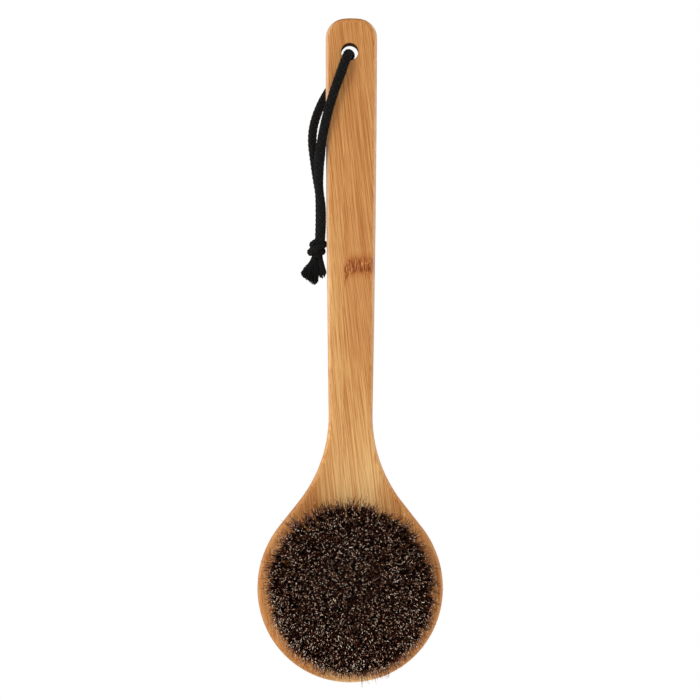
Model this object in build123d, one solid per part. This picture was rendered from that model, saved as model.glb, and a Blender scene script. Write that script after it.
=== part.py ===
from build123d import *
from math import acos, atan2, cos, degrees, hypot, pi, radians, sin, sqrt, tan
import os

# Long-handled bamboo body brush with a round bristle head and a looped hanging cord.
# Millimetres. +Z runs up the handle, +X is to the right as the bristles are looked at,
# and the bristles point along -Y. The origin is the centre of the hanging hole, halfway
# through the board.

# ---- driving dimensions ----
board_thickness = 12.0
edge_round = 3.0            # rounding all round both faces of the board
board_x = 0.95              # the hole is drilled this far left of the board's centreline
top_z = 19.0                # top of the handle above the hole's centre
handle_end_width = 28.7     # handle's greatest width, where the corner rounds end
handle_lean_top = 0.18      # degrees that each side leans in there, going down
handle_lean_waist = 0.99    # and at the waist: the sides bow out a little between the two
handle_dome_radius = 34.0   # crown of the handle's end
handle_corner_radius = 11.0
waist_z = -200.8            # where the handle is narrowest and the neck begins to widen
neck_radius = 77.6
shoulder_radius = 54.2
shoulder_end = -23.5        # degrees above the head's widest point, so here below it
head_radius = 51.35
head_z = -298.95

hole_radius = 4.75
hole_edge_round = 0.3

# The board is glued up from two plies of bamboo strips, whose seams are staggered.
strip_width = 20.0
face_seam = -3.9            # a seam of the bristle-side ply, from the board's centreline
back_seam = 2.0             # a seam of the other ply

# Tufts are folded in half round a flat wire anchor and driven into blind holes.
field_rise = 2.35           # the field's centre lies this far above the head's centre
ring_pitch = 5.6
ring_counts = [1, 6, 12, 19, 25, 31, 38, 44]
ring_twist = 38.5           # degrees that each ring is turned against the one inside it
tuft_radius = 1.75
tuft_tip_radius = 2.85
tuft_depth = 7.0
bristle_length = 20.0       # out of the board
field_spread = 0.11         # share by which the tips stand further out than the holes
anchor_width = 4.3
anchor_height = 1.6
anchor_thickness = 0.5
anchor_seat = 1.4           # bristle folded under the anchor, above the hole's floor

cord_diameter = 4.5
knot_centre = (-17.9, 0.0, -109.3)
knot_half_size = (5.1, 5.5, 4.9)

# The cord's route: up the front strand, through the hole, down the back strand.
front_strand = [
    (-16.0, -2.6, -106.5),
    (-14.9, -2.7, -90.0),
    (-17.5, -3.2, -69.0),
    (-15.2, -7.4, -48.0),
    (-10.2, -8.9, -28.0),
    (-4.9, -9.2, -12.2),
    (-1.9, -9.4, -4.3),
    (-0.8, -6.3, -1.4),
]
cord_in_hole = [(-0.7, 0.0, -1.7)]
back_strand = [
    (-0.8, 6.3, -1.4),
    (-2.2, 9.4, -4.2),
    (-6.3, 9.2, -12.0),
    (-15.6, 8.7, -26.4),
    (-21.7, 6.4, -44.0),
    (-19.4, 3.4, -62.5),
    (-15.9, 2.5, -85.0),
    (-17.0, 2.7, -106.5),
]

# Each frayed end: where it leaves the knot, the middle of its tips, and its half size there.
frayed_ends = [
    ((-19.2, 0.6, -112.2), (-23.4, 0.8, -126.8), (4.7, 3.4)),
    ((-15.9, -0.6, -112.6), (-15.6, -0.8, -125.2), (2.8, 2.4)),
]
frayed_root_radius = 1.9


# ---- planes that the board and the head are drawn in ----
# Both look at the bristle side: local x is right, y is up, z is out towards the bristles.
board_plane = Plane(origin=(board_x, 0, 0), x_dir=(1, 0, 0), z_dir=(0, -1, 0))
head_plane = Plane(
    origin=(board_x, 0, head_z + field_rise), x_dir=(1, 0, 0), z_dir=(0, -1, 0)
)
face_w = board_thickness / 2      # the bristle-side face, in those planes
cord_radius = cord_diameter / 2


def polar(centre, radius, angle):
    """The point at a distance and an angle in degrees from a centre."""
    turn = radians(angle)
    return (centre[0] + radius * cos(turn), centre[1] + radius * sin(turn))


def board_outline():
    """The board's outline: its right side as tangent lines and arcs, and its mirror image."""
    # The corner arc touches the dome from inside and runs into the side.
    lean_top, lean_waist = radians(handle_lean_top), radians(handle_lean_waist)
    corner_x = handle_end_width / 2 - handle_corner_radius * cos(lean_top)
    inner = handle_dome_radius - handle_corner_radius
    dome = (0, top_z - handle_dome_radius)
    corner = (corner_x, dome[1] + sqrt(inner**2 - corner_x**2))
    corner_start = degrees(atan2(corner[1] - dome[1], corner[0]))
    side_top = polar(corner, handle_corner_radius, -handle_lean_top)

    # The side is one long arc, from its lean at the top to its lean at the waist.
    side_radius = (side_top[1] - waist_z) / (sin(lean_waist) - sin(lean_top))
    side = polar(side_top, -side_radius, -handle_lean_top)
    waist = polar(side, side_radius, -handle_lean_waist)

    # The flank is the line that touches both the neck's arc and the shoulder's.
    neck = polar(waist, neck_radius, -handle_lean_waist)
    head = (0, head_z)
    shoulder = polar(head, -(shoulder_radius - head_radius), shoulder_end)
    across = neck[0] - shoulder[0]
    along = neck[1] - shoulder[1]
    reach = acos((neck_radius + shoulder_radius) / hypot(across, along))
    flank = degrees(atan2(along, across) - reach)

    right_side = [
        CenterArc(dome, handle_dome_radius, 90, corner_start - 90),
        CenterArc(corner, handle_corner_radius, corner_start, -handle_lean_top - corner_start),
        CenterArc(side, side_radius, -handle_lean_top, handle_lean_top - handle_lean_waist),
        CenterArc(neck, neck_radius, 180 - handle_lean_waist, flank + handle_lean_waist),
        Line(polar(neck, -neck_radius, flank), polar(shoulder, shoulder_radius, flank)),
        CenterArc(shoulder, shoulder_radius, flank, shoulder_end - flank),
        CenterArc(head, head_radius, shoulder_end, -90 - shoulder_end),
    ]
    left_side = [edge.mirror(Plane.YZ) for edge in right_side]
    return make_face(right_side + left_side)


def tuft_places():
    """For each ring, the places of its holes on the head's plane."""
    rings = []
    for ring, count in enumerate(ring_counts):
        turns = [ring * ring_twist + 360 * place / count for place in range(count)]
        rings.append([polar((0, 0), ring * ring_pitch, turn) for turn in turns])
    return rings


def anchor(place):
    """A flat wire anchor, lying across the grain near the floor of its hole."""
    x, y = place
    seat = face_w - tuft_depth + anchor_seat
    body = Box(
        anchor_width, anchor_thickness, anchor_height,
        align=(Align.CENTER, Align.CENTER, Align.MIN),
    )
    return head_plane * Pos(x, y, seat) * body


def tuft(place):
    """A folded tuft: a cylinder in its hole, then a cone that leans and opens outwards."""
    x, y = place
    tip = (x * (1 + field_spread), y * (1 + field_spread))
    in_hole = Pos(x, y, face_w - tuft_depth) * Cylinder(
        tuft_radius, tuft_depth, align=(Align.CENTER, Align.CENTER, Align.MIN)
    )
    mouth = Pos(x, y, face_w) * Circle(tuft_radius)
    tips = Pos(tip[0], tip[1], face_w + bristle_length) * Circle(tuft_tip_radius)
    return head_plane * (in_hole + loft([mouth, tips])) - anchor(place)


def board(rings):
    """The whole board, with the hanging hole, the tufts' holes and the anchors' grooves."""
    blank = extrude(board_plane * board_outline(), face_w, both=True)
    rims = blank.edges().group_by(Axis.Y)
    blank = fillet(rims[0] + rims[-1], edge_round)

    drill = Cylinder(hole_radius, 2 * board_thickness, rotation=(90, 0, 0))
    blank -= drill
    mouths = [
        edge for edge in blank.edges().filter_by(GeomType.CIRCLE)
        if abs(edge.radius - hole_radius) < 0.01
    ]
    blank = fillet(mouths, hole_edge_round)

    places = [place for ring in rings for place in ring]
    tuft_holes = [
        head_plane * Pos(x, y, face_w - tuft_depth) * Cylinder(
            tuft_radius, 2 * tuft_depth, align=(Align.CENTER, Align.CENTER, Align.MIN)
        )
        for x, y in places
    ]
    grooves = [anchor(place) for place in places]
    return blank - tuft_holes - grooves


def strips(whole, seam, front):
    """One ply of the board, cut at its seams into strips from left to right."""
    seams = [seam + strip_width * step for step in range(-2, 3)]
    edges = [-2 * head_radius, *seams, 2 * head_radius]
    length = top_z - head_z + 2 * head_radius
    ply_y = -board_thickness / 2 if front else board_thickness / 2
    pieces = []
    for left, right in zip(edges, edges[1:]):
        slab = Pos(board_x + (left + right) / 2, ply_y, head_z / 2) * Box(
            right - left, board_thickness, 2 * length
        )
        pieces.append(whole & slab)
    return pieces


def cord():
    """The looped cord, a tube of straight runs and the largest arcs that fit between them."""
    route = [Vector(*point) for point in front_strand + cord_in_hole + back_strand]
    runs = [after - before for before, after in zip(route, route[1:])]
    bends = []
    for arriving, leaving in zip(runs, runs[1:]):
        half_turn = radians(arriving.get_angle(leaving)) / 2
        bends.append(0.45 * min(arriving.length, leaving.length) / tan(half_turn))
    path = FilletPolyline(*route, radius=bends)
    section = Plane(origin=path @ 0, z_dir=path % 0) * Circle(cord_radius)
    tube = sweep(section, path=path)

    print("cord runs, mm:", [round(run.length, 1) for run in runs])
    print("cord bend radii, mm:", [round(bend, 1) for bend in bends])
    print("cord length, mm:", round(path.length, 1))
    expected = pi * cord_radius**2 * path.length
    print("cord volume against section times length:", round(tube.volume / expected, 4))
    return tube


def knot():
    """The outer shape of the overhand knot that joins the two strands."""
    half_x, half_y, half_z = knot_half_size
    return Pos(*knot_centre) * scale(Sphere(1), by=(half_x, half_y, half_z))


def frayed_end(root, tips, half_size):
    """One frayed end, spreading from a round root to a wide, flat brush of yarn."""
    along = Vector(*tips) - Vector(*root)
    start = Plane(origin=root, x_dir=(1, 0, 0), z_dir=along)
    end = Plane(origin=tips, x_dir=(1, 0, 0), z_dir=along)
    return loft([start * Circle(frayed_root_radius), end * Ellipse(*half_size)])


# ---- the sub-parts, each in its own node ----
rings = tuft_places()
whole_board = board(rings)

nodes = {}
for number, strip in enumerate(strips(whole_board, face_seam, front=True), start=1):
    nodes[f"face_strip_{number}"] = strip
for number, strip in enumerate(strips(whole_board, back_seam, front=False), start=1):
    nodes[f"back_strip_{number}"] = strip
for number, places in enumerate(rings):
    nodes[f"tufts_ring_{number}"] = Compound(children=[tuft(place) for place in places])
    nodes[f"anchors_ring_{number}"] = Compound(children=[anchor(place) for place in places])
nodes["hanging_cord"] = cord()
nodes["cord_knot"] = knot()
nodes["frayed_ends"] = Compound(children=[frayed_end(*end) for end in frayed_ends])

os.makedirs("parts", exist_ok=True)
for name, shape in nodes.items():
    export_step(shape, f"parts/{name}.step")
    print(f"{name}: {len(shape.solids())} solids, {shape.volume:.0f} mm3")
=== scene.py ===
import math

import bpy
import numpy as np
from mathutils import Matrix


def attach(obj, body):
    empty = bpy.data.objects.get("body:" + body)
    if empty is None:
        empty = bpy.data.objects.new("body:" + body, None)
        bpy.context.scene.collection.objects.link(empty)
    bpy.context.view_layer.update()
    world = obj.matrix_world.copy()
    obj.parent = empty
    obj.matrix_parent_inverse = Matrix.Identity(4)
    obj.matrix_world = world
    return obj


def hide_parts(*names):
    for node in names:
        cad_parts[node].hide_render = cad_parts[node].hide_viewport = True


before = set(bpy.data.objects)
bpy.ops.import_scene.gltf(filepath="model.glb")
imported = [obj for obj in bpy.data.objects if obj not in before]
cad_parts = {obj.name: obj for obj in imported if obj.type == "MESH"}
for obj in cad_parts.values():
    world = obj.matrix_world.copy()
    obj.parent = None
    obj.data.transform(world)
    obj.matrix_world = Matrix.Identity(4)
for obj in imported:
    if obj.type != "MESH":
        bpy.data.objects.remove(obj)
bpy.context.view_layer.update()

# Looks of the body dry brush. Metres, in the CAD's frame: +Z up the handle, +X to the right as
# the bristles are looked at, bristles along -Y, origin at the centre of the hanging hole.
MM = 0.001
scene = bpy.context.scene


# ---- camera ----
camera_data = bpy.data.cameras.new("camera")
camera_data.sensor_width = 36
camera_data.lens = 101.46
camera = bpy.data.objects.new("camera", camera_data)
camera.location = (0.00054, -1.1, -0.1655)
camera.rotation_euler = (math.pi / 2, -0.00237, 0)
scene.collection.objects.link(camera)
scene.camera = camera


# ---- geometry helpers ----
def unit(vectors):
    return vectors / np.linalg.norm(vectors, axis=-1, keepdims=True)


def spline_line(name, route):
    """The smooth line of a NURBS spline that has the route's points as its control points."""
    curve = bpy.data.curves.new(name, "CURVE")
    curve.dimensions = "3D"
    curve.resolution_u = 40
    spline = curve.splines.new("NURBS")
    spline.points.add(len(route) - 1)
    for point, place in zip(spline.points, route):
        point.co = (*[value * MM for value in place], 1)
    spline.order_u = 3
    spline.use_endpoint_u = True
    holder = bpy.data.objects.new(name, curve)
    scene.collection.objects.link(holder)
    depsgraph = bpy.context.evaluated_depsgraph_get()
    mesh = bpy.data.meshes.new_from_object(holder.evaluated_get(depsgraph))
    line = np.array([vertex.co for vertex in mesh.vertices])
    bpy.data.objects.remove(holder)
    bpy.data.curves.remove(curve)
    bpy.data.meshes.remove(mesh)
    return line


def evenly(line, step):
    """The same line with its points a fixed distance apart, and how far along each is."""
    gaps = np.linalg.norm(np.diff(line, axis=0), axis=1)
    along = np.concatenate([[0], np.cumsum(gaps)])
    at = np.linspace(0, along[-1], int(round(along[-1] / step)) + 1)
    return np.stack([np.interp(at, along, line[:, axis]) for axis in range(3)], 1), at


def side_vectors(line):
    """Two unit vectors across a line at each point, which turn no more than they have to."""
    ahead = unit(np.gradient(line, axis=0))
    side = unit(np.cross(ahead[0], (0.3, 0.9, 0.3)))
    sides = []
    for direction in ahead:
        side = side - direction * (side @ direction)
        side = side / np.linalg.norm(side)
        sides.append(side)
    return np.array(sides), np.cross(ahead, np.array(sides))


def tubes(centres, across, over, half_across, half_over, sides):
    """Many tubes at once. Centres and the two cross vectors are (tube, ring, 3)."""
    angles = 2 * np.pi * np.arange(sides) / sides
    ring = (
        across[:, :, None] * (half_across[..., None] * np.cos(angles))[..., None]
        + over[:, :, None] * (half_over[..., None] * np.sin(angles))[..., None]
    )
    count, rings = centres.shape[:2]
    points = (centres[:, :, None] + ring).reshape(-1, 3)
    number = np.arange(count * rings * sides).reshape(count, rings, sides)
    following = np.roll(number, -1, axis=2)
    quads = np.stack(
        [number[:, :-1], following[:, :-1], following[:, 1:], number[:, 1:]], axis=-1
    )
    return points, quads


def last_ring(count, rings, sides):
    """The vertices that cap the far end of each of a number of tubes."""
    return (np.arange(count)[:, None] * rings + rings - 1) * sides + np.arange(sides)[None]


class Shape:
    """Vertices and faces gathered from several tubes, with a material number for each face."""

    def __init__(self):
        self.points, self.quads, self.caps, self.finish, self.cap_finish = [], [], [], [], []
        self.count = 0

    def add(self, points, quads, finish=0, caps=None, cap_finish=0):
        quads = quads.reshape(-1, 4)
        self.quads.append(quads + self.count)
        self.finish.append(np.broadcast_to(np.asarray(finish).reshape(-1), len(quads)))
        if caps is not None:
            self.caps.append(caps + self.count)
            self.cap_finish.append(np.broadcast_to(cap_finish, len(caps)))
        self.points.append(points)
        self.count += len(points)

    def build(self, name, materials):
        points, quads = np.concatenate(self.points), np.concatenate(self.quads)
        finish = [np.concatenate(self.finish)]
        loops, sizes = [quads.reshape(-1)], [np.full(len(quads), 4)]
        for caps, cap_finish in zip(self.caps, self.cap_finish):
            loops.append(caps.reshape(-1))
            sizes.append(np.full(len(caps), caps.shape[1]))
            finish.append(cap_finish)
        loops, sizes = np.concatenate(loops), np.concatenate(sizes)
        starts = np.concatenate([[0], np.cumsum(sizes)[:-1]])
        mesh = bpy.data.meshes.new(name)
        mesh.vertices.add(len(points))
        mesh.vertices.foreach_set("co", points.astype(np.float32).reshape(-1))
        mesh.loops.add(len(loops))
        mesh.loops.foreach_set("vertex_index", loops.astype(np.int32))
        mesh.polygons.add(len(sizes))
        mesh.polygons.foreach_set("loop_start", starts.astype(np.int32))
        mesh.polygons.foreach_set("material_index", np.concatenate(finish).astype(np.int32))
        mesh.polygons.foreach_set("use_smooth", np.ones(len(sizes), bool))
        for material in materials:
            mesh.materials.append(material)
        mesh.update(calc_edges=True)
        mesh.validate()
        piece = bpy.data.objects.new(name, mesh)
        scene.collection.objects.link(piece)
        return piece


# ---- material helpers ----
def colour(red, green, blue):
    """An 8-bit screen colour as the linear colour that nodes take."""
    shares = [value / 255 for value in (red, green, blue)]
    linear = [s / 12.92 if s <= 0.04045 else ((s + 0.055) / 1.055) ** 2.4 for s in shares]
    return (*linear, 1.0)


class Finish:
    """A material with one Principled shader, and short calls that add nodes to it."""

    def __init__(self, name, base, roughness, specular=0.5):
        self.material = bpy.data.materials.new(name)
        self.material.use_nodes = True
        self.material.diffuse_color = base
        self.tree = self.material.node_tree
        self.shader = self.tree.nodes["Principled BSDF"]
        self.shader.inputs["Base Color"].default_value = base
        self.shader.inputs["Roughness"].default_value = roughness
        self.shader.inputs["Specular IOR Level"].default_value = specular

    def node(self, kind, inputs=(), **settings):
        node = self.tree.nodes.new("ShaderNode" + kind)
        for key, value in settings.items():
            setattr(node, key, value)
        for key, value in dict(inputs).items():
            if isinstance(value, bpy.types.NodeSocket):
                self.tree.links.new(value, node.inputs[key])
            else:
                node.inputs[key].default_value = value
        return node

    def math(self, operation, first, second=0.0, third=0.0):
        inputs = {0: first, 1: second, 2: third}
        return self.node("Math", inputs, operation=operation).outputs[0]

    def ramp(self, value, low, high, to_low=0.0, to_high=1.0, kind="SMOOTHSTEP"):
        """A smooth step of a value, from one range to another."""
        inputs = {0: value, 1: low, 2: high, 3: to_low, 4: to_high}
        return self.node("MapRange", inputs, interpolation_type=kind).outputs[0]

    def noise(self, vector, detail=2.0, roughness=0.5):
        """Noise with features about one unit of the vector across, from about 0.25 to 0.75."""
        inputs = {"Vector": vector, "Scale": 1.0, "Detail": detail, "Roughness": roughness}
        return self.node("TexNoise", inputs).outputs["Fac"]

    def vector(self, x, y, z):
        return self.node("CombineXYZ", {0: x, 1: y, 2: z}).outputs[0]

    def mix(self, share, first, second, blend="MIX"):
        node = self.node("Mix", {0: share, 6: first, 7: second}, data_type="RGBA", blend_type=blend)
        return node.outputs[2]

    def millimetres(self):
        """The place on the piece, in millimetres: x, y and z."""
        place = self.node("TexCoord").outputs["Object"]
        scaled = self.node("VectorMath", {0: place, 3: 1000.0}, operation="SCALE").outputs[0]
        apart = self.node("SeparateXYZ", {0: scaled})
        return apart.outputs[0], apart.outputs[1], apart.outputs[2]

    def use(self, name, value):
        self.tree.links.new(value, self.shader.inputs[name])

    def bump(self, height, millimetres, strength=1.0):
        """Raises the surface by up to this many millimetres where the height is 1."""
        inputs = {"Height": height, "Distance": millimetres * MM, "Strength": strength}
        self.use("Normal", self.node("Bump", inputs).outputs[0])


# ---- the hanging cord: its route in millimetres, front strand, hole, back strand ----
cord_route = [
    (-16.0, -2.6, -106.5),
    (-14.7, -2.7, -90.0),
    (-17.6, -3.2, -69.0),
    (-15.5, -7.4, -48.0),
    (-10.6, -8.9, -28.0),
    (-4.9, -9.2, -12.2),
    (-1.9, -9.4, -4.1),
    (-0.9, -6.8, -0.9),
    (0.5, 0.0, -1.3),
    (-0.3, 6.4, -1.2),
    (-2.2, 9.4, -4.2),
    (-6.3, 9.2, -12.0),
    (-16.1, 8.7, -26.4),
    (-21.7, 6.4, -44.0),
    (-19.4, 3.4, -62.5),
    (-15.9, 2.5, -85.0),
    (-17.0, 2.7, -106.5),
]
CORD_DIAMETER = 4.5 * MM


def black_yarn(name, shade, seed):
    """Black cotton: a soft sheen, and fine fibres across the light."""
    yarn = Finish(name, colour(*shade), 0.85, specular=0.15)
    yarn.shader.inputs["Sheen Weight"].default_value = 0.03
    yarn.shader.inputs["Sheen Roughness"].default_value = 0.5
    x, y, z = yarn.millimetres()
    fibre = yarn.noise(yarn.vector(
        yarn.math("MULTIPLY_ADD", x, 7.0, seed), yarn.math("MULTIPLY", y, 7.0),
        yarn.math("MULTIPLY", z, 3.0)), detail=3.0)
    yarn.use("Roughness", yarn.ramp(fibre, 0.3, 0.7, 0.7, 1.0))
    yarn.bump(fibre, 0.12, 0.6)
    return yarn.material


yarns = [
    black_yarn("black_yarn", (11, 10, 10), 0.0),
    black_yarn("black_yarn_worn", (19, 17, 16), 40.0),
]


# the braid: how many yarns run each way, and its proportions as shares of its radius
CARRIERS = 6
YARN_MIDDLE, YARN_WAVE = 0.83, 0.11
YARN_HALF_WIDTH, YARN_HALF_THICKNESS = 0.31, 0.20
CORE = 0.78
BRAID_STEP = 0.3 * MM
YARN_ROUND, CORE_ROUND = 6, 12     # sides of a yarn's tube and of the core's


def braid(shape, line, radius, pitch, swell=((0, 1.0), (1, 1.0))):
    """A round braid of yarns that run both ways round a line, over and under each other.
    Swell gives its thickness at shares of its length."""
    line, along = evenly(line, BRAID_STEP)
    side, over = side_vectors(line)
    turn = 2 * np.pi * along / pitch
    radius = radius * np.interp(along / along[-1], *zip(*swell))
    middle, wave = radius * YARN_MIDDLE, radius * YARN_WAVE
    for way in (1, -1):
        starts = 2 * np.pi * np.arange(CARRIERS) / CARRIERS
        angle = way * turn[None] + starts[:, None]
        out = (
            side[None] * np.cos(angle)[..., None] + over[None] * np.sin(angle)[..., None]
        )
        reach = middle + way * wave * np.cos(CARRIERS * turn)
        centres = line[None] + out * reach[None, :, None]
        ahead = unit(np.gradient(centres, axis=1))
        wide = unit(np.cross(out, ahead))
        half_wide = np.broadcast_to(YARN_HALF_WIDTH * radius, angle.shape)
        half_flat = np.broadcast_to(YARN_HALF_THICKNESS * radius, angle.shape)
        worn = np.arange(CARRIERS) % 3 == 1
        finish = np.repeat(worn, (len(line) - 1) * YARN_ROUND)
        yarn = tubes(centres, wide, out, half_wide, half_flat, YARN_ROUND)
        shape.add(*yarn, finish=finish)
    core = CORE * radius[None, ::4]
    shape.add(*tubes(
        line[None, ::4], side[None, ::4], over[None, ::4], core, core, CORE_ROUND))


cord_line = spline_line("cord_line", cord_route)
cord_shape = Shape()
# slacker and thicker where it hangs free, thinnest where its strands cross above the knot
braid(cord_shape, cord_line, CORD_DIAMETER / 2, 16 * MM, swell=(
    (0, 0.98), (0.05, 1.02), (0.09, 1.00), (0.115, 0.88), (0.14, 0.92), (0.165, 1.08),
    (0.21, 1.24), (0.245, 1.08), (0.30, 1.07), (0.36, 1.06), (0.41, 1.12), (0.45, 1.10),
    (0.54, 1.03), (0.68, 1.04), (0.74, 1.02), (0.80, 1.00), (0.84, 0.98), (0.88, 0.88),
    (0.92, 0.97), (1, 0.98),
))
hanging_cord = cord_shape.build("braided_cord", yarns)

# The knot has the outline of an overhand knot, but isn't tied: one short braid winds about twice
# round another, and both meet the cord's ends. Points are from the knot's centre.
KNOT = np.array((-17.6, 0.0, -109.3))
KNOT_BRAID_RADIUS = 1.95 * MM


def from_knot(points):
    """Points as right, up and towards the viewer from the knot's centre, in the CAD's frame."""
    return [(KNOT[0] + u, -w, KNOT[2] + v) for u, v, w in points]


knot_wrap = from_knot([
    (1.6, 5.0, 1.9), (1.3, 4.6, 2.4), (-0.9, 3.5, 3.2), (-2.9, 2.5, 1.3), (-2.3, 1.4, -1.9),
    (0.6, 1.8, -3.2), (3.5, 2.7, -1.4), (3.5, 2.9, 1.3), (0.6, 1.1, 3.9), (-2.2, -0.9, 3.3),
    (-4.4, -1.7, 0.6), (-2.6, -2.0, -2.2), (0.8, -1.6, -3.1), (2.7, -0.9, -1.0),
    (1.9, -1.7, 1.5), (0.0, -3.2, 1.3), (-0.6, -4.6, 1.0),
])
knot_core = from_knot([
    (0.1, 4.8, -2.6), (0.5, 2.4, -1.9), (0.0, 0.0, -0.6), (0.4, -2.2, -0.9), (0.5, -4.4, -0.8),
])
knot_shape = Shape()
for knot_route in (knot_wrap, knot_core):
    braid(knot_shape, spline_line("knot_line", knot_route), KNOT_BRAID_RADIUS, 14 * MM)
knot = knot_shape.build("overhand_knot", yarns)

# the frayed ends: loose yarn that fans out from the knot, each filament a tube of this many
# points and sides
YARN_POINTS, YARN_SIDES = 12, 5


def loose_yarn(shape, root, reach, cut, depth, count, seed):
    """Filaments from a round root to a cut edge, which is a line of points (x, z)."""
    random = np.random.default_rng(seed)
    turn = 2 * np.pi * random.random(count)
    out = reach * np.sqrt(random.random(count))[:, None]
    root = np.array(root) + out * np.stack([np.cos(turn), np.sin(turn), np.zeros(count)], 1)
    cut, along = evenly(np.array([(x, 0, z) for x, z in cut]), 0.1)
    ends = cut[np.sort(random.integers(0, len(cut), count))]
    # a filament's place along the cut edge goes with its place in the root
    tips = np.empty_like(ends)
    tips[np.argsort(root[:, 0] + 0.5 * reach * random.normal(size=count))] = ends
    deep = (root[:, 1:2] - root[:, 1].mean()) / reach
    tips[:, 1:2] = root[:, 1].mean() + depth * deep + 0.5 * random.normal(size=(count, 1))
    inward = random.beta(1.0, 9.0, (count, 1))
    tips = tips + (root - tips) * inward + 0.12 * random.normal(size=tips.shape)
    rough = 0.3 * random.normal(size=(2, count, 3))
    knots = [
        root + (0, 0, 2.2), root - (0, 0, 2.4),
        0.55 * root + 0.45 * tips + (0, 0, -0.9) + rough[0],
        0.2 * root + 0.8 * tips + rough[1], tips,
    ]
    t = np.linspace(0, 1, YARN_POINTS)[None, :, None]
    line = sum(
        math.comb(4, k) * (1 - t) ** (4 - k) * t**k * knots[k][:, None] for k in range(5)
    ) * MM
    # each filament is crimped, as yarn is when it comes out of a braid
    phase = 2 * np.pi * random.random((count, 1, 1))
    crimp = 0.16 * MM * np.sin(2 * np.pi * 3.1 * t + phase) * np.minimum(1, 3 * t)
    ahead = unit(np.gradient(line, axis=1))
    wide = unit(np.cross(ahead, random.normal(size=(count, 1, 3))))
    line = line + wide * crimp
    over = np.cross(ahead, wide)
    thick = random.uniform(0.17, 0.30, (count, 1)) * np.ones(YARN_POINTS) * MM
    thick[:, -1] *= 0.75
    points, quads = tubes(line, wide, over, thick, thick, YARN_SIDES)
    finish = np.repeat(random.random(count) < 0.25, (YARN_POINTS - 1) * YARN_SIDES)
    last = last_ring(count, YARN_POINTS, YARN_SIDES)
    shape.add(points, quads, finish, caps=last, cap_finish=0)


ends_shape = Shape()
loose_yarn(ends_shape, (-18.6, 0.5, -112.4), 1.75,
           [(-27.3, -122.8), (-26.3, -124.8), (-24.6, -126.1), (-21.4, -128.4), (-19.2, -129.4),
            (-17.6, -128.0), (-17.3, -124.6)], 2.8, 330, 3)
loose_yarn(ends_shape, (-16.4, -0.6, -112.4), 1.25,
           [(-16.3, -125.2), (-15.1, -125.8), (-13.7, -125.1), (-12.8, -122.8)], 1.9, 130, 4)
frayed = ends_shape.build("frayed_yarn", yarns)

for piece, node in (
    (hanging_cord, "hanging_cord"), (knot, "cord_knot"), (frayed, "frayed_ends"),
):
    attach(piece, "hanging_loop")
    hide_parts(node)


# ---- bamboo ----
def growth_ring(wood, base, place, seed, left, mark):
    """Short dark dashes and pale flecks in an uneven band across the strip, in a brown halo.
    The mark is (z, drop at the left edge, jaggedness, dashes to a millimetre, strength)."""
    x, y, z = place
    ring_z, drop, jagged, fine, strength = mark
    jag = wood.noise(wood.vector(wood.math("MULTIPLY_ADD", x, 0.33, seed), 0.0, 0.0), 2.0)
    fall = wood.ramp(x, left + 1.0, left + 3.5, drop, 0.0)
    off = wood.math("ADD", wood.math("SUBTRACT", z, ring_z), fall)
    off = wood.math("MULTIPLY_ADD", wood.math("SUBTRACT", jag, 0.5), jagged, off)
    far = wood.math("ABSOLUTE", off)
    dashes = wood.noise(wood.vector(
        wood.math("MULTIPLY_ADD", x, fine, seed + 3.0), wood.math("MULTIPLY", y, fine),
        wood.math("MULTIPLY", z, 0.21)), detail=3.0, roughness=0.6)
    halo = wood.ramp(far, 2.0, 9.0, 0.72 * strength, 0.0)
    base = wood.mix(halo, base, colour(164, 84, 24))
    band = wood.ramp(far, 2.6, 5.2, strength, 0.0)
    dark = wood.math("MULTIPLY", band, wood.ramp(dashes, 0.46, 0.56))
    base = wood.mix(wood.math("MULTIPLY", dark, 0.90), base, colour(116, 48, 0))
    fleck = wood.math("MULTIPLY", band, wood.ramp(dashes, 0.41, 0.34))
    return wood.mix(wood.math("MULTIPLY", fleck, 0.90), base, colour(232, 184, 124))


def painted_edge_light_and_shade(wood, base, y, z):
    """The rounded edges: a painted reflection, pale along the sides of the handle, and painted
    shade on faces that turn upwards, where the top end's own end grain is darker too.
    """
    facing = wood.node("SeparateXYZ", {0: wood.node("TexCoord").outputs["Normal"]})
    # painted reflection: side-facing rounded edges are made paler, most along the upper handle
    painted_edge_reflection = wood.math("MULTIPLY", wood.ramp(wood.math("ABSOLUTE", y), 2.6, 3.4),
                         wood.ramp(wood.math("ABSOLUTE", facing.outputs[0]), 0.30, 0.72))
    handle = wood.ramp(z, -190.0, -130.0, 0.06, 0.36)
    base = wood.mix(wood.math("MULTIPLY", painted_edge_reflection, handle), base, colour(240, 208, 180))
    # painted shade on faces that turn upwards, with the end grain's own darker tone
    top_shade_and_end_grain = wood.ramp(facing.outputs[2], 0.40, 0.95, 0.0, 0.50)
    return wood.mix(top_shade_and_end_grain, base, colour(128, 72, 34))


def glue_lines(wood, base, x, left, right):
    """The faint glue line at each edge of the strip."""
    edge = wood.math("MINIMUM", wood.math("ABSOLUTE", wood.math("SUBTRACT", x, left)),
                     wood.math("ABSOLUTE", wood.math("SUBTRACT", x, right)))
    return wood.mix(wood.ramp(edge, 0.06, 0.24, 0.30, 0.0), base, colour(150, 92, 46))


def inside_hole(wood, x, z):
    """1 on the drilled wall of the hanging hole, which is 4.75 mm from its axis, and 0 past it."""
    bore = wood.math("POWER", wood.math("ADD", wood.math("MULTIPLY", x, x),
                                        wood.math("MULTIPLY", z, z)), 0.5)
    return wood.ramp(bore, 4.80, 4.95, 1.0, 0.0)


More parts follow.
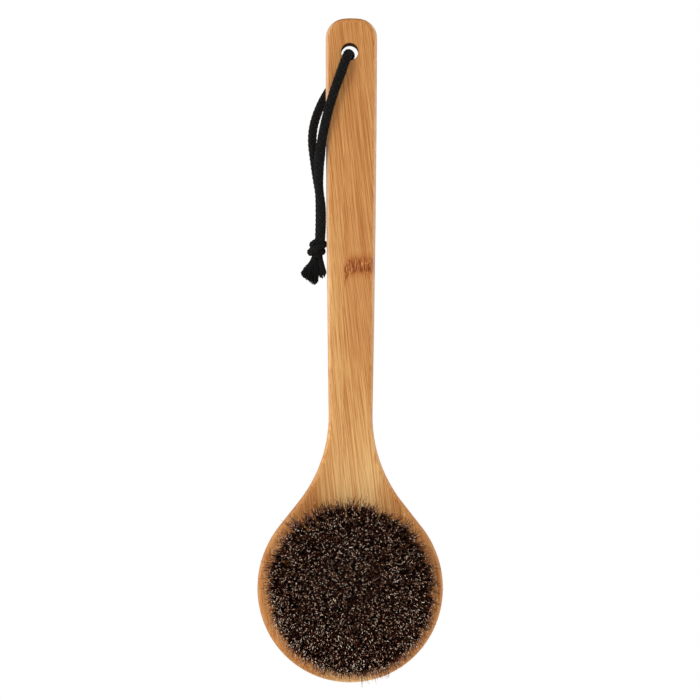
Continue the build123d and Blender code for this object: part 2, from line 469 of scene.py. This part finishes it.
def bamboo(name, seed, lean, tones, left, right, marks=()):
    """One bamboo strip. Lean is how far the grain moves right per millimetre down the strip,
    tones are its brightness above one height and below another, left and right are its glued
    edges, and marks are its growth rings, as growth_ring takes them."""
    wood = Finish(name, colour(200, 143, 82), 0.45, specular=0.2)
    x, y, z = wood.millimetres()

    # the grain leans and wanders a little
    wander = wood.noise(wood.vector(
        wood.math("MULTIPLY_ADD", x, 0.05, seed), wood.math("MULTIPLY", y, 0.05),
        wood.math("MULTIPLY", z, 0.012)), detail=2.0)
    across = wood.math("MULTIPLY_ADD", z, lean, x)
    across = wood.math("MULTIPLY_ADD", wander, 1.6, across)
    deep = wood.math("ADD", y, seed * 3.1)

    def grain(scale, length, detail=2.0, shift=0.0, roughness=0.5):
        """Streaks: scale is how many there are to a millimetre, length is theirs in mm."""
        return wood.noise(wood.vector(
            wood.math("MULTIPLY_ADD", across, scale, shift + seed),
            wood.math("MULTIPLY", deep, scale),
            wood.math("MULTIPLY", z, 1 / length)), detail=detail, roughness=roughness)

    broad = grain(0.17, 150.0)
    streaks = grain(1.25, 80.0, detail=3.0, shift=11.0, roughness=0.6)
    fibres = grain(2.5, 34.0, detail=2.0, shift=5.0, roughness=0.6)
    hairs = grain(4.2, 10.0, detail=2.0, shift=71.0)

    light, tan = colour(202, 146, 84), colour(190, 130, 69)
    orange, brown = colour(166, 93, 38), colour(132, 68, 24)
    base = wood.mix(wood.ramp(streaks, 0.44, 0.56), light, tan)
    base = wood.mix(wood.ramp(streaks, 0.55, 0.66, 0.0, 0.25), base, orange)
    base = wood.mix(wood.ramp(fibres, 0.52, 0.60, 0.0, 0.68), base, orange)
    base = wood.mix(wood.ramp(fibres, 0.46, 0.36, 0.0, 0.55), base, colour(214, 162, 98))
    base = wood.mix(wood.ramp(hairs, 0.56, 0.70, 0.0, 0.35), base, brown)

    for mark in marks:
        base = growth_ring(wood, base, (x, y, z), seed, left, mark)

    # lighter and less red towards the neck, darker on its flanks, and lighter in the middle of the
    # head: painted light there, which makes up for the shade of the bristles
    lengthwise = wood.ramp(z, *tones)
    flank = wood.ramp(wood.math("ABSOLUTE", wood.math("SUBTRACT", x, 1.0)), 6.0, 26.0)
    head = wood.ramp(z, -212.0, -250.0)
    # painted light: the head's middle is lifted by 0.15 against the bristles' shade
    sides = wood.math("MULTIPLY_ADD", wood.math("MULTIPLY_ADD", flank, -0.39, 0.15), head, 1.0)
    shade = wood.math("MULTIPLY", wood.math("MULTIPLY", lengthwise, sides),
                      wood.ramp(broad, 0.3, 0.7, 1.05, 0.94, kind="LINEAR"))
    tint = wood.node("CombineColor", {0: shade, 1: wood.math("POWER", shade, 1.8),
                                      2: wood.math("POWER", shade, 2.7)}).outputs[0]
    base = wood.mix(1.0, base, tint, blend="MULTIPLY")

    base = painted_edge_light_and_shade(wood, base, y, z)
    base = glue_lines(wood, base, x, left, right)
    # the hole's wall is end grain, and darker all round
    drilled = inside_hole(wood, x, z)
    base = wood.mix(wood.math("MULTIPLY", drilled, 0.85), base, colour(84, 42, 22))
    wood.use("Base Color", base)

    relief = wood.math("ADD", wood.math("MULTIPLY", fibres, 0.6), wood.math("MULTIPLY", hairs, 0.4))
    gloss = wood.ramp(relief, 0.35, 0.65, 0.38, 0.54, kind="LINEAR")
    wood.use("Roughness", wood.math("MAXIMUM", gloss, drilled))
    wood.bump(relief, 0.05, 0.5)
    return wood.material


# Each strip: its seed, the grain's lean, its tones and its growth rings.
strip_looks = {
    "face_strip_1": (3.0, 0.08, (0.0, -160.0, 0.95, 1.18), ()),
    "face_strip_2": (19.0, 0.115, (0.0, -160.0, 0.95, 1.22), ()),
    "face_strip_3": (31.0, 0.10, (0.0, -150.0, 0.94, 1.13), ()),
    "face_strip_4": (47.0, 0.12, (-150.0, -240.0, 0.97, 1.22), ((-118.5, 5.0, 7.0, 1.35, 1.0),)),
    "face_strip_5": (59.0, 0.12, (0.0, -160.0, 0.98, 1.24), ()),
    "face_strip_6": (67.0, 0.09, (0.0, -160.0, 0.96, 1.20), ()),
    "back_strip_1": (73.0, 0.02, (0.0, -160.0, 0.96, 1.20), ()),
    "back_strip_2": (83.0, -0.05, (0.0, -160.0, 0.98, 1.24), ((-287.0, 3.0, 3.0, 2.6, 0.6),)),
    "back_strip_3": (97.0, 0.03, (0.0, -160.0, 0.98, 1.16), ((-62.0, -2.0, 3.0, 2.6, 0.6),)),
    "back_strip_4": (103.0, 0.06, (0.0, -160.0, 0.94, 1.10), ((-231.0, 3.0, 3.0, 2.6, 0.6),)),
    "back_strip_5": (113.0, -0.02, (0.0, -160.0, 1.0, 1.28), ((-318.0, -2.0, 3.0, 2.6, 0.6),)),
    "back_strip_6": (127.0, 0.04, (0.0, -160.0, 0.96, 1.18), ()),
}
STRIP_WIDTH = 20.0
for ply, first_seam in (("face", -42.95), ("back", -37.05)):
    for number in range(1, 7):
        node = f"{ply}_strip_{number}"
        left = first_seam + STRIP_WIDTH * (number - 2)
        seed, lean, tones, marks = strip_looks[node]
        material = bamboo(f"bamboo_{node}", seed, lean, tones, left, left + STRIP_WIDTH, marks)
        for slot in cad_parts[node].material_slots:
            slot.material = material

# ---- anchors ----
wire = Finish("anchor_wire", colour(178, 177, 172), 0.35)
wire.shader.inputs["Metallic"].default_value = 1.0
wx, wy, wz = wire.millimetres()
drawn = wire.noise(wire.vector(wire.math("MULTIPLY", wx, 0.6), wire.math("MULTIPLY", wy, 12.0),
                               wire.math("MULTIPLY", wz, 12.0)), detail=3.0)
wire.use("Roughness", wire.ramp(drawn, 0.3, 0.7, 0.25, 0.5))
wire.bump(drawn, 0.01)
for number in range(8):
    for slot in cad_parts[f"anchors_ring_{number}"].material_slots:
        slot.material = wire.material


# ---- bristles ----
BOARD_X, FIELD_Z, FACE = 0.95, -296.6, 6.0
RING_PITCH, RING_COUNTS, RING_TWIST = 5.6, [1, 6, 12, 19, 25, 31, 38, 44], 38.5
BRISTLE_LENGTH = 20.0
HAIRS = 150                 # to a tuft
HAIR_POINTS, HAIR_SIDES = 5, 3

# the field of tips is wider than the field of roots, and not quite central on it
TIP_SPREAD = (1.075, 1.13)
TIP_SHIFT = (0.4, -0.3)
TUFT_SPREAD = 3.8           # how far a tuft's own bristles spread at their tips
DIAGONAL = 1.4              # the rim's tips stand up to half this far in along one diagonal,
                            # and as far out along the other
RIM = RING_PITCH * (len(RING_COUNTS) - 1)
FRINGE_FROM = 45.5          # bristles whose tips lie further out than this are the fringe
FRINGE_REACH = 4.3          # the furthest that the fringe goes past its tuft


def bristle(name, shade):
    """Natural bristle: smooth but dull, with fine scales along it."""
    hair = Finish(name, colour(*shade), 0.5, specular=0.12)
    x, y, z = hair.millimetres()
    scales = hair.noise(hair.vector(hair.math("MULTIPLY", x, 5.0), hair.math("MULTIPLY", y, 9.0),
                                    hair.math("MULTIPLY", z, 5.0)), detail=2.0)
    hair.use("Roughness", hair.ramp(scales, 0.3, 0.7, 0.4, 0.6))
    hair.bump(scales, 0.03, 0.5)
    return hair.material


hair_looks = [
    bristle("bristle_black", (9, 4, 4)),
    bristle("bristle_dark", (29, 14, 11)),
    bristle("bristle_brown", (66, 31, 24)),
    bristle("bristle_russet", (124, 60, 40)),
    bristle("bristle_tan", (190, 140, 112)),
    bristle("bristle_pale", (248, 214, 182)),
    bristle("bristle_blond", (255, 244, 224)),
]
BLACK, DARK, BROWN, RUSSET, TAN, PALE, BLOND = range(7)


def tuft_hairs(place, ring, random):
    """One tuft's bristles: lines on the head's plane as (hair, point, x y w), their radii and
    a finish for each length between points."""
    far = math.hypot(*place)
    out = np.array(place) / max(far, 1e-6)
    around = np.array((-out[1], out[0]))
    count = HAIRS
    turn = 2 * np.pi * random.random(count)
    disc = np.stack([np.cos(turn), np.sin(turn)], 1) * np.sqrt(random.random((count, 1)))
    root = np.array(place) + 1.6 * disc
    # the tufts open until their tips meet, and each leans its own way
    lean = 0.3 * random.normal(size=2)
    tip = np.array(place) * TIP_SPREAD + TIP_SHIFT + TUFT_SPREAD * disc + lean
    tip -= out * (DIAGONAL * out[0] * out[1] * far / RIM)
    tip += (1.7, 1.4, 0.9)[max(0, ring - 5)] * random.normal(size=(count, 2))
    stray = random.random(count)
    fringe = np.zeros(count)
    if ring >= 6:
        # the rim's tufts splay out in uneven clusters, with a thin fringe past the rest
        splay = random.gamma(1.5, 0.7) if ring == 7 else random.gamma(1.5, 0.3)
        tip += out * (splay * random.random((count, 1)))
        fringe = np.where(stray < 0.4, random.exponential((0.5, 2.1)[ring - 6], count), 0)
        tip += out * (np.minimum(fringe, FRINGE_REACH) * (0.8 + 0.2 * out[1]))[:, None]
        tip += around * (0.8 * random.normal() + 0.5 * random.normal(size=(count, 1)))
    height = BRISTLE_LENGTH + 0.8 * random.normal(size=count)
    bow = 0.5 * random.normal(size=(count, 2))
    curl = unit(random.normal(size=(count, 2))) * random.gamma(3.0, 0.16, (count, 1))
    points = np.empty((count, HAIR_POINTS, 3))
    # each bristle's points lie at heights of its own, so no colour ends along one line
    for step, (lowest, highest, curled) in enumerate((
        (-0.06, -0.06, 0.0), (0.12, 0.58, 0.0), (0.68, 0.84, 0.02), (0.93, 0.96, 0.15),
        (1.0, 1.0, 1.0),
    )):
        level = random.uniform(lowest, highest, count)
        rise = np.maximum(level, 0.0)[:, None]
        points[:, step, :2] = (
            root + (tip - root) * rise**1.2 + bow * np.sin(math.pi * rise) + curl * curled
        )
        points[:, step, 2] = FACE + level * height
    points[:, 4, 2] -= 0.35 * np.linalg.norm(curl, axis=1)
    looks = np.repeat(random.choice(4, (count, 1), p=(0.39, 0.33, 0.16, 0.12)), 4, axis=1)
    looks[:, 0] = BLACK
    looks[:, 1] = np.minimum(looks[:, 1], DARK)
    # the rim is paler at the bottom and the left
    bright = random.random(count) - (ring == 7) * (0.02 - 0.05 * out[1] - 0.03 * out[0])
    looks[:, 3] = np.where(bright < 0.18, TAN, looks[:, 3])
    looks[:, 3] = np.where(bright < 0.11, PALE, looks[:, 3])
    looks[:, 3] = np.where(bright < 0.055, BLOND, looks[:, 3])
    # most of the fringe is thin, and brown where light comes through it, and more so at the left
    # and below
    fringed = np.linalg.norm(tip - TIP_SHIFT, axis=1) > FRINGE_FROM
    thin = fringed & (random.random(count) < 0.8 - 0.2 * (out[0] + out[1]))
    for step, warm in ((1, (BROWN, RUSSET)), (2, (RUSSET, TAN)), (3, (RUSSET, TAN, PALE))):
        looks[:, step] = np.where(thin, random.choice(warm, count), looks[:, step])
    # its radius at each point, with the pale tips thicker, so that they show as specks
    thick = random.uniform(0.085, 0.13, count)[:, None] * np.array([1.7, 1.8, 1.5, 1.0, 0.5])
    thick[:, 3:] += np.where(bright < 0.11, 0.08, np.where(bright < 0.18, 0.04, 0.0))[:, None]
    thick[thin] *= 0.75
    return points, thick, looks


for ring, tufts in enumerate(RING_COUNTS):
    random = np.random.default_rng(100 + ring)
    lines, thick, looks = [], [], []
    for index in range(tufts):
        angle = math.radians(ring * RING_TWIST + 360 * index / tufts)
        place = (ring * RING_PITCH * math.cos(angle), ring * RING_PITCH * math.sin(angle))
        for kept, made in zip((lines, thick, looks), tuft_hairs(place, ring, random)):
            kept.append(made)
    lines, thick, looks = np.concatenate(lines), np.concatenate(thick), np.concatenate(looks)
    lines = np.stack([BOARD_X + lines[..., 0], -lines[..., 2], FIELD_Z + lines[..., 1]], -1) * MM
    ahead = unit(np.gradient(lines, axis=1))
    wide = unit(np.cross(ahead, random.normal(size=(len(lines), 1, 3))))
    over = np.cross(ahead, wide)
    points, quads = tubes(lines, wide, over, thick * MM, thick * MM, HAIR_SIDES)
    finish = np.repeat(looks.reshape(-1), HAIR_SIDES)
    last = last_ring(len(lines), HAIR_POINTS, HAIR_SIDES)
    shape = Shape()
    shape.add(points, quads, finish, caps=last, cap_finish=TAN)
    piece = shape.build(f"bristles_ring_{ring}", hair_looks)
    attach(piece, "brush")
    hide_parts(f"tufts_ring_{ring}")

# ---- stage, light and background ----
FLOOR_RADIUS, FLOOR_Z, FLOOR_SIDES = 1.2, -0.6, 64
floor_mesh = bpy.data.meshes.new("floor")
floor_turns = [2 * math.pi * k / FLOOR_SIDES for k in range(FLOOR_SIDES)]
floor_points = [
    (FLOOR_RADIUS * math.cos(turn), FLOOR_RADIUS * math.sin(turn), FLOOR_Z)
    for turn in floor_turns
]
floor_mesh.from_pydata(floor_points, [], [list(range(FLOOR_SIDES))])
paper = Finish("floor", colour(236, 235, 232), 0.9)
px, py, _ = paper.millimetres()
tooth = paper.vector(paper.math("MULTIPLY", px, 0.2), paper.math("MULTIPLY", py, 0.2), 0.0)
paper.bump(paper.noise(tooth, 3.0), 0.2, 0.2)
floor_mesh.materials.append(paper.material)
floor = bpy.data.objects.new("floor", floor_mesh)
scene.collection.objects.link(floor)

world = bpy.data.worlds.new("studio")
scene.world = world
world.use_nodes = True
nodes, links = world.node_tree.nodes, world.node_tree.links
seen = nodes["Background"]
seen.inputs[0].default_value = (1, 1, 1, 1)
seen.inputs[1].default_value = 1.0
room = nodes.new("ShaderNodeBackground")
room.inputs[0].default_value = (1, 0.99, 0.975, 1)
room.inputs[1].default_value = 0.42
path = nodes.new("ShaderNodeLightPath")
both = nodes.new("ShaderNodeMixShader")
links.new(path.outputs["Is Camera Ray"], both.inputs[0])
links.new(room.outputs[0], both.inputs[1])
links.new(seen.outputs[0], both.inputs[2])
links.new(both.outputs[0], nodes["World Output"].inputs[0])


def softbox(name, place, aim, size, watts):
    """A square area light that faces a point."""
    data = bpy.data.lights.new(name, "AREA")
    data.size = size
    data.energy = watts
    light = bpy.data.objects.new(name, data)
    light.location = place
    towards = np.array(aim) - np.array(place)
    turn = math.atan2(towards[1], towards[0]) - math.pi / 2
    tilt = math.atan2(towards[2], math.hypot(towards[0], towards[1])) + math.pi / 2
    light.rotation_euler = (tilt, 0, turn)
    scene.collection.objects.link(light)


softbox("key", (-1.7, -2.1, 1.8), (0, 0, -0.16), 1.2, 60.0)
softbox("front", (0.1, -2.2, -0.5), (0, 0, -0.2), 1.2, 11.0)
softbox("left_side", (-0.95, 0.05, -0.1), (0, 0, -0.16), 0.8, 3.2)
softbox("right_side", (0.95, 0.1, -0.1), (0, 0, -0.16), 0.8, 4.2)
softbox("back", (0.3, 1.3, 0.5), (0, 0, -0.16), 0.8, 9.0)

scene.view_settings.view_transform = "Standard"
